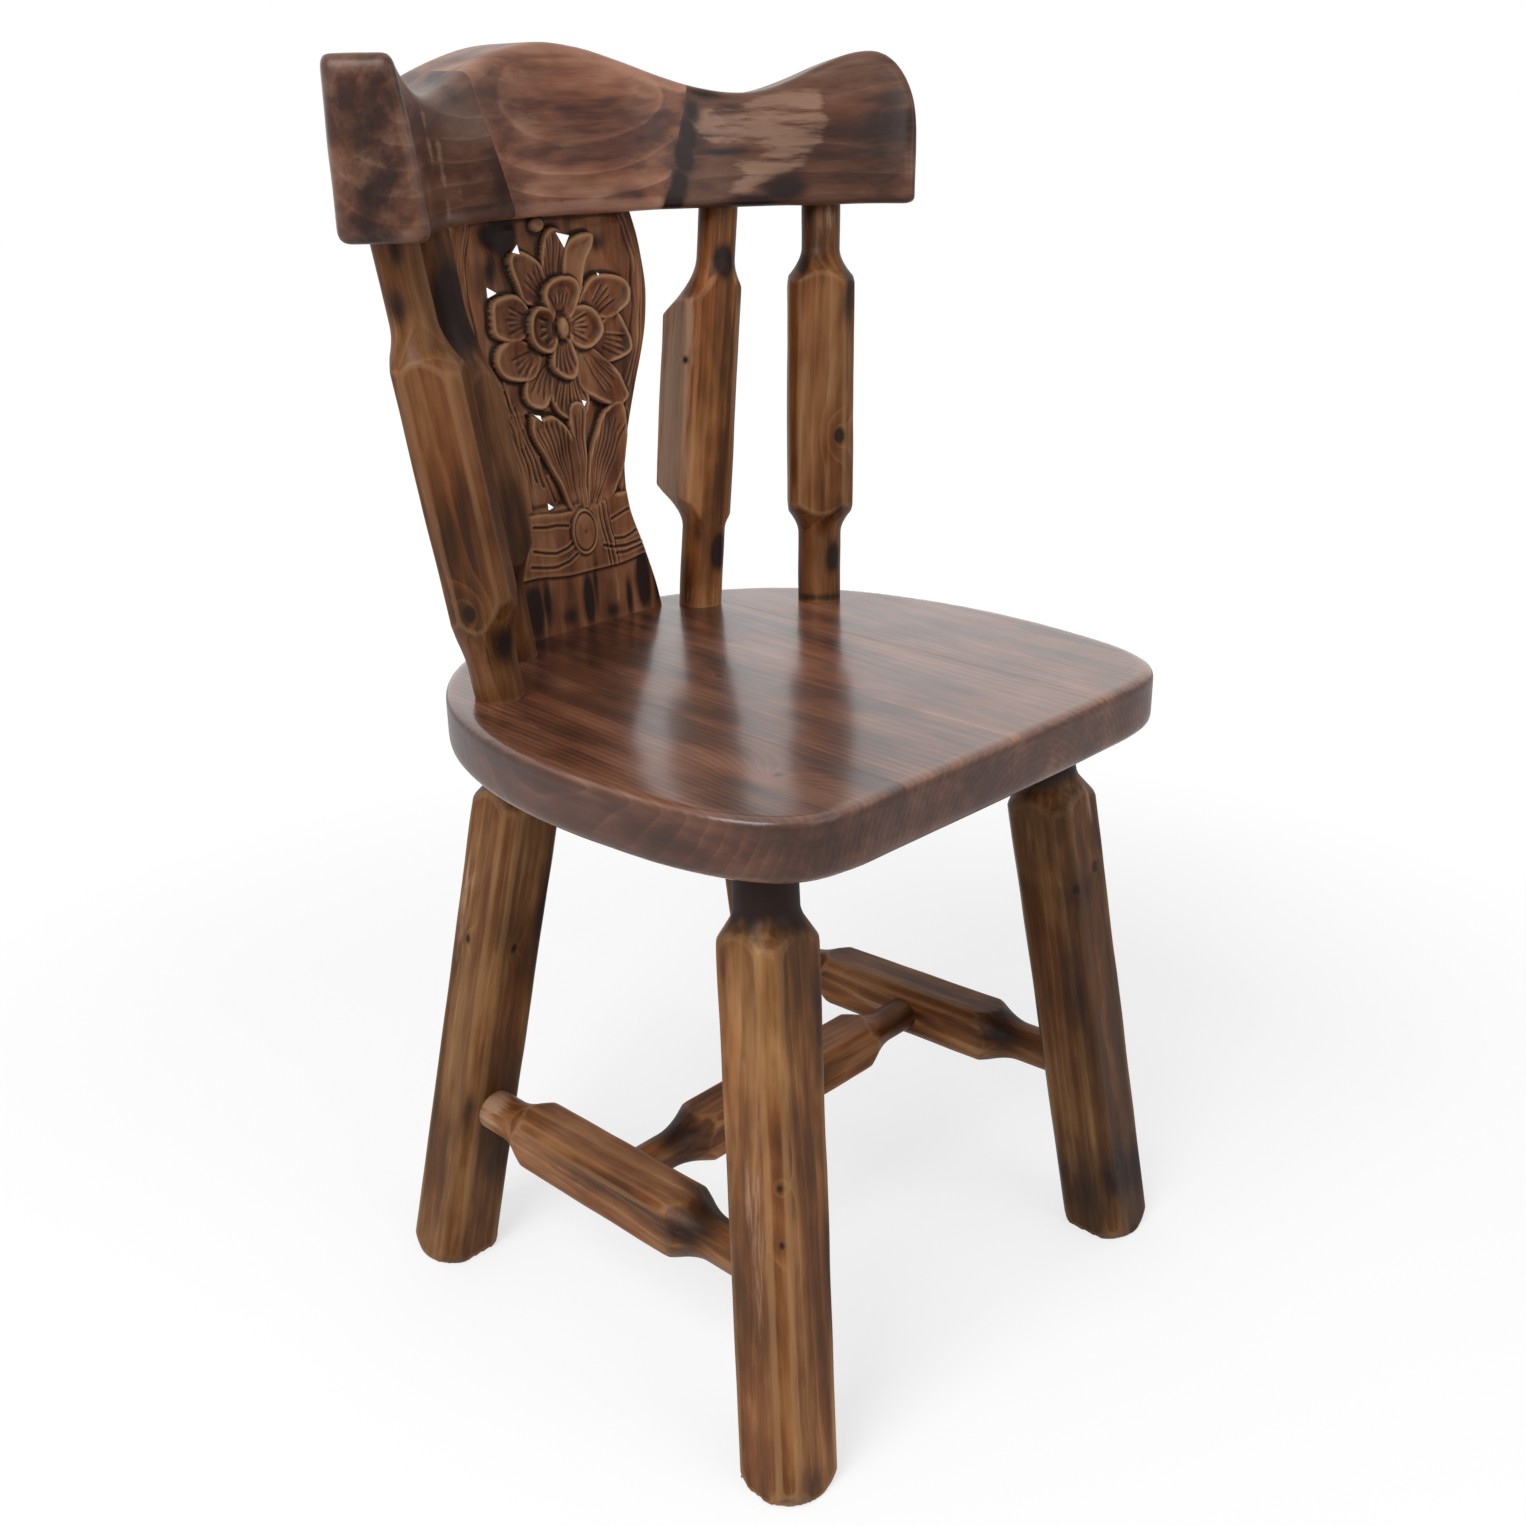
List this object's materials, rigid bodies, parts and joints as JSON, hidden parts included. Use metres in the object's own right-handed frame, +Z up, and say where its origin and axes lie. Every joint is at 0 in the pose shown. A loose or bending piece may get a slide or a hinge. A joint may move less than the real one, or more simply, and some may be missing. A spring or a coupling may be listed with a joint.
{
  "type": "dining chair",
  "caption": "Rustic carved wooden dining chair: thick glued seat, splayed square legs with stretchers, and a curved back of faceted spindles, a pierced floral splat and a crest rail.",
  "frame": {"origin": "middle of the chair's outer box, on the floor that its four feet stand on", "axes": "+Z up, -Y the way the sitter faces, +X to the sitter's left"},
  "size_m": [0.4956, 0.444, 0.8638],
  "materials": {
    "seat_wood": "dark brown stained softwood under satin varnish",
    "crest_wood": "dark brown stained and scorched softwood under satin varnish",
    "splat_wood": "carved, scorched and stained softwood under satin varnish",
    "leg_wood": "ochre brown stained softwood with dark scorched streaks, satin varnish",
    "spindle_wood": "ochre brown stained softwood, scorched at the necks, satin varnish",
    "stretcher_wood": "brown stained softwood, scorched at the necks, satin varnish",
    "dowel_wood": "bare softwood, hidden inside the joints"
  },
  "bodies": {
    "root": {"crest_block_centre": "crest_wood", "crest_block_left": "crest_wood", "crest_block_right": "crest_wood", "crest_dowel_left_high": "dowel_wood", "crest_dowel_left_low": "dowel_wood", "crest_dowel_right_high": "dowel_wood", "crest_dowel_right_low": "dowel_wood", "cross_stretcher": "stretcher_wood", "leg_back_left": "leg_wood", "leg_back_right": "leg_wood", "leg_front_left": "leg_wood", "leg_front_right": "leg_wood", "seat_board_inner_left": "seat_wood", "seat_board_inner_right": "seat_wood", "seat_board_outer_left": "seat_wood", "seat_board_outer_right": "seat_wood", "side_stretcher_left": "stretcher_wood", "side_stretcher_right": "stretcher_wood", "spindle_inner_left": "spindle_wood", "spindle_inner_right": "spindle_wood", "spindle_outer_left": "spindle_wood", "spindle_outer_right": "spindle_wood", "splat": "splat_wood"}
  },
  "joints": []
}
